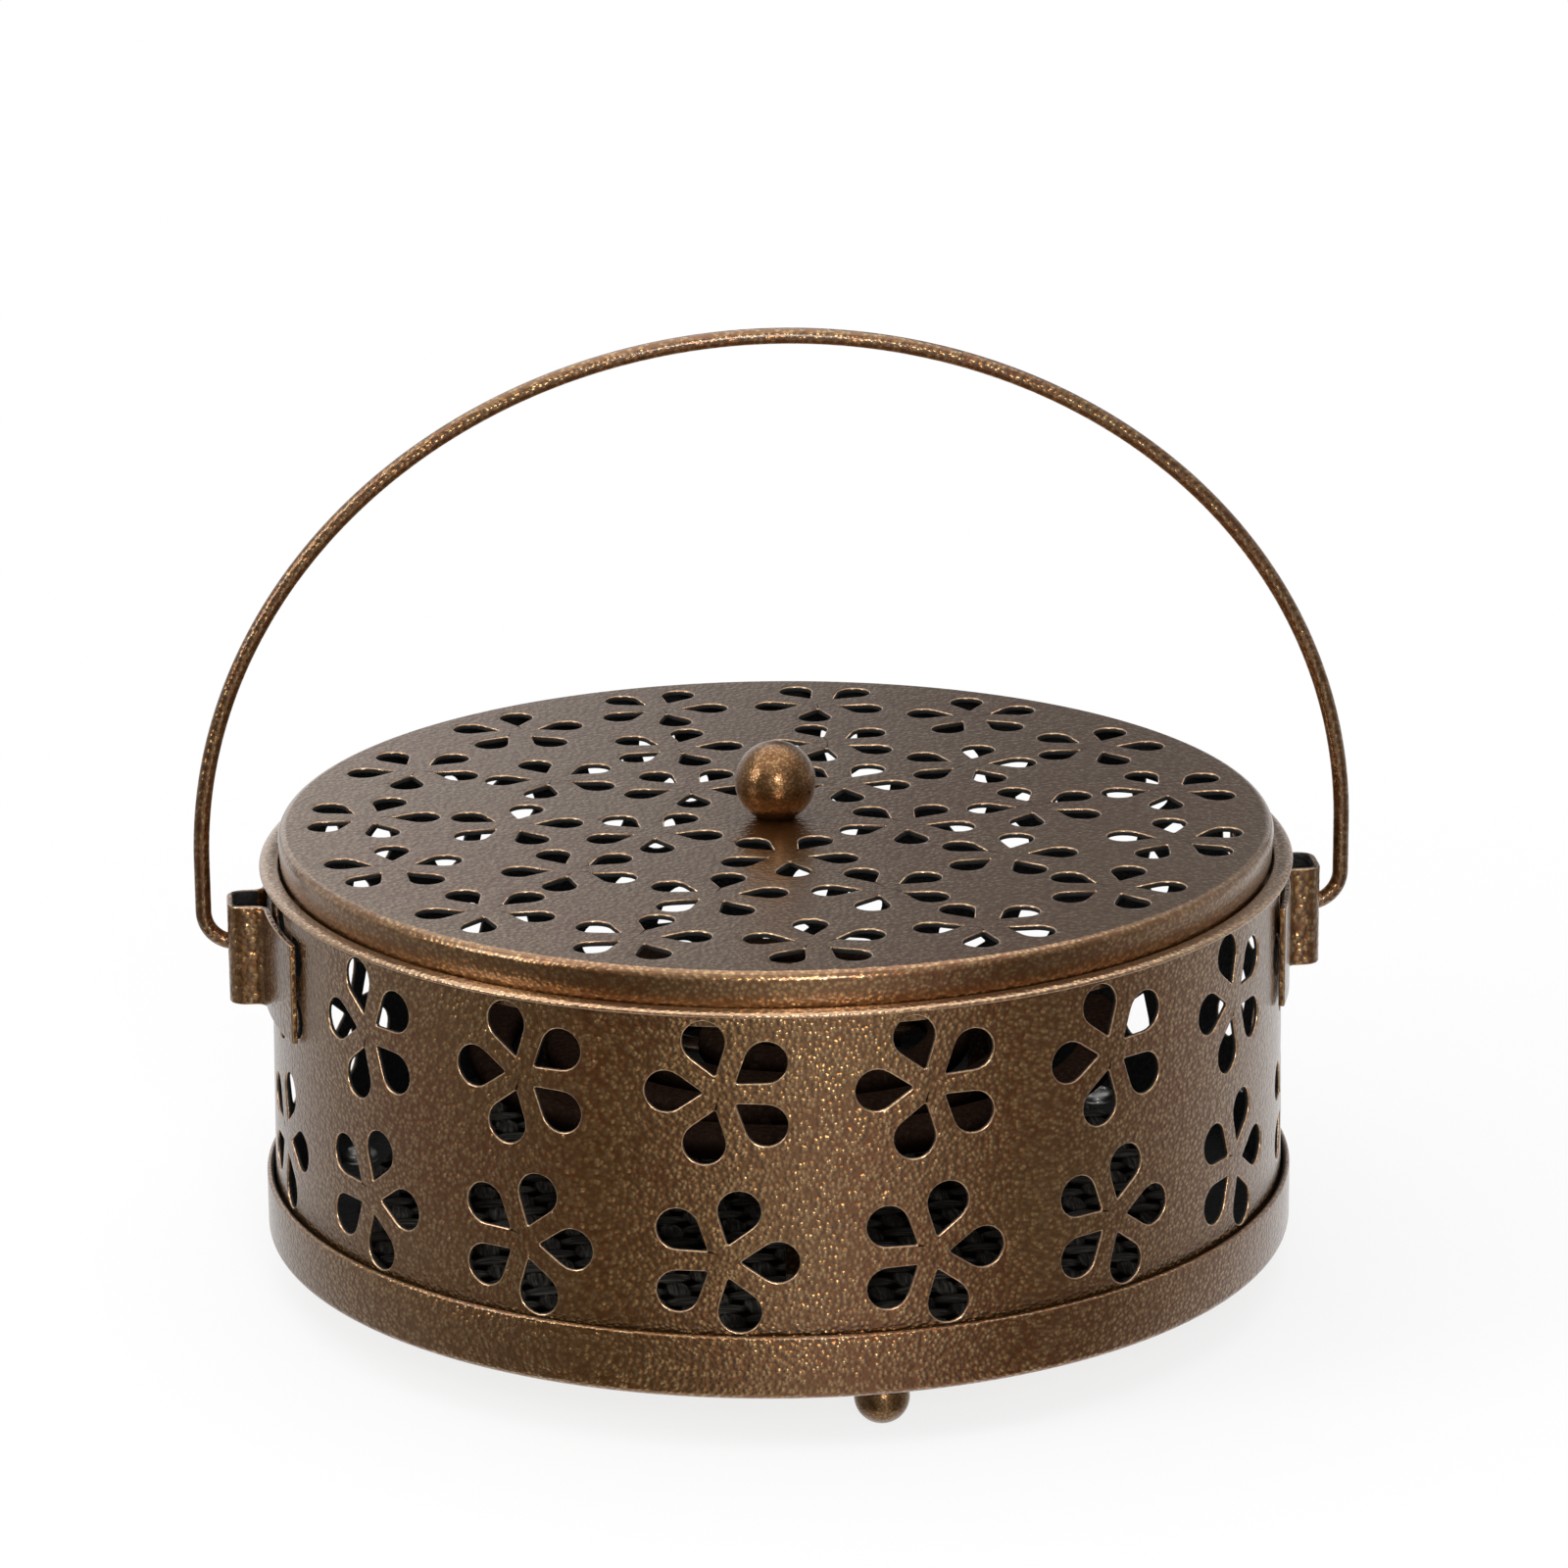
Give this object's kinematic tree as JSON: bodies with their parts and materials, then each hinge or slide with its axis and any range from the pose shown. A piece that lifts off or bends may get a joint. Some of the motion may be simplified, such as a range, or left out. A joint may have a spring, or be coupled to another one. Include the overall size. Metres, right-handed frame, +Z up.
{
  "type": "mosquito coil holder",
  "caption": "Round mosquito coil holder with flower-pierced wall and lid, shallow tray on ball feet, ball knob and wire bail, with a coil on a stand inside.",
  "frame": {"origin": "centre of the holder on the plane its feet stand on", "axes": "+Z up, +X along the axis the bail swings about, -Y the front"},
  "size_m": [0.1686, 0.1504, 0.1401],
  "materials": {
    "bronze": "speckled antique bronze powder coat",
    "bare_steel": "zinc-plated",
    "glass_fibre": "woven, sooted",
    "coil_dust": "pressed dust, matt"
  },
  "bodies": {
    "base": {"base_tray": "bronze", "perforated_wall": "bronze", "lug_right": "bronze", "lug_left": "bronze", "foot_1": "bronze", "foot_2": "bronze", "foot_3": "bronze", "foot_screw_1": "bare_steel", "foot_screw_2": "bare_steel", "foot_screw_3": "bare_steel", "glass_fibre_mat": "glass_fibre", "coil_stand": "bronze", "mosquito_coil": "coil_dust"},
    "lid": {"lid": "bronze", "lid_knob": "bronze", "knob_screw": "bare_steel"},
    "bail": {"bail_handle": "bronze"}
  },
  "joints": [
    {"name": "bail_swing", "type": "hinge", "parent": "base", "child": "bail", "pos_m": [0, 0, 0.0515], "axis": [1, 0, 0], "range_deg": [-116, 116]},
    {"name": "lid_lift", "type": "slide", "parent": "base", "child": "lid", "axis": [0, 0, 1], "range_m": [0, 0.026]}
  ]
}
